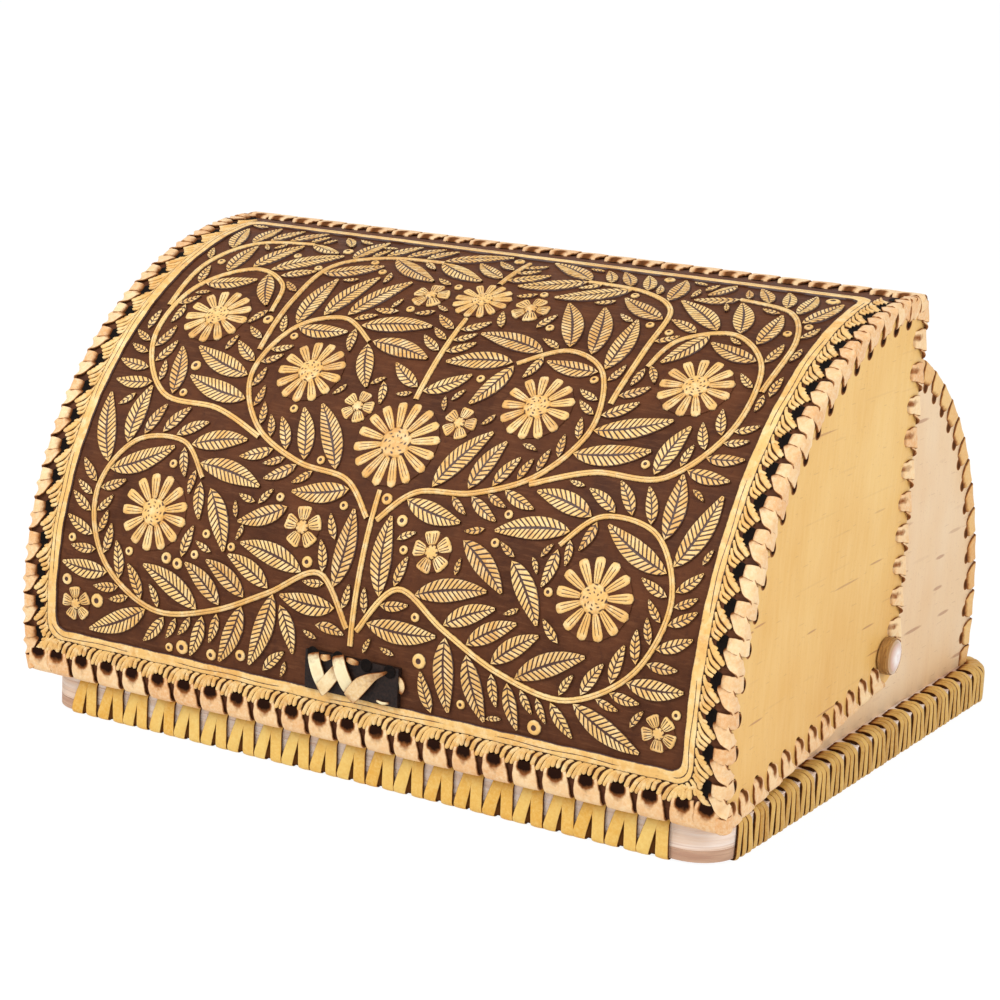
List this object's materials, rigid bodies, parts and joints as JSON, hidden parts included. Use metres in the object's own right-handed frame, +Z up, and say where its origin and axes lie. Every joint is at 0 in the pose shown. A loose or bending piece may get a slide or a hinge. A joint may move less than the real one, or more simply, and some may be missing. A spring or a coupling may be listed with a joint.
{
  "type": "bread box",
  "caption": "Birch-bark bread box: laced bark body on a strip-wrapped base, with a carved quarter-round lid that swings up and back on two side pivots.",
  "frame": {"origin": "middle of the underside of the base, which stands on the table", "axes": "+X to the object's right as seen from the front, +Y to the back, +Z up"},
  "size_m": [0.3604, 0.323, 0.2172],
  "materials": {
    "layered_bark": "matte, in thin layers",
    "base_board": "matte",
    "base_wrapping": "satin",
    "lining_bark": "matte",
    "body_lacing": "satin",
    "body_bark": "satin",
    "lid_lacing": "satin",
    "carved_bark": "carved and stained, satin",
    "lid_side_bark": "satin",
    "pearl": "pearl gloss",
    "pin_metal": "plain",
    "pivot_bark": "matte",
    "tab_leather": "semi-gloss",
    "tab_strip": "satin"
  },
  "bodies": {
    "body": {"base_board": "base_board", "base_floor_sheet": "lining_bark", "base_lower_layer": "layered_bark", "base_wrapping_front": "base_wrapping", "base_wrapping_left": "base_wrapping", "base_wrapping_rear": "base_wrapping", "base_wrapping_right": "base_wrapping", "body_back_lining": "lining_bark", "body_back_panel": "body_bark", "body_lacing_arch_left": "body_lacing", "body_lacing_arch_right": "body_lacing", "body_lacing_front_left": "body_lacing", "body_lacing_front_right": "body_lacing", "body_lacing_top": "body_lacing", "body_side_left": "body_bark", "body_side_lining_left": "lining_bark", "body_side_lining_right": "lining_bark", "body_side_right": "body_bark", "pivot_cap_left": "pearl", "pivot_cap_right": "pearl", "pivot_disc_left": "pivot_bark", "pivot_disc_right": "pivot_bark", "pivot_inner_washer_left": "pivot_bark", "pivot_inner_washer_right": "pivot_bark", "pivot_pin_left": "pin_metal", "pivot_pin_right": "pin_metal", "pivot_spacer_left": "pivot_bark", "pivot_spacer_right": "pivot_bark"},
    "lid": {"lid_front_lining": "lining_bark", "lid_front_sheet": "carved_bark", "lid_lacing_arch_left": "lid_lacing", "lid_lacing_arch_right": "lid_lacing", "lid_lacing_foot_left": "lid_lacing", "lid_lacing_foot_right": "lid_lacing", "lid_lacing_lower_edge": "lid_lacing", "lid_lacing_rear_left": "lid_lacing", "lid_lacing_rear_right": "lid_lacing", "lid_lacing_upper_edge": "lid_lacing", "lid_side_left": "lid_side_bark", "lid_side_lining_left": "lining_bark", "lid_side_lining_right": "lining_bark", "lid_side_right": "lid_side_bark", "pull_tab": "tab_leather", "pull_tab_strips": "tab_strip"}
  },
  "joints": [
    {"name": "lid_hinge", "type": "hinge", "parent": "body", "child": "lid", "pos_m": [0, 0.012, 0.0525], "axis": [-1, 0, 0], "range_deg": [0, 100]}
  ]
}
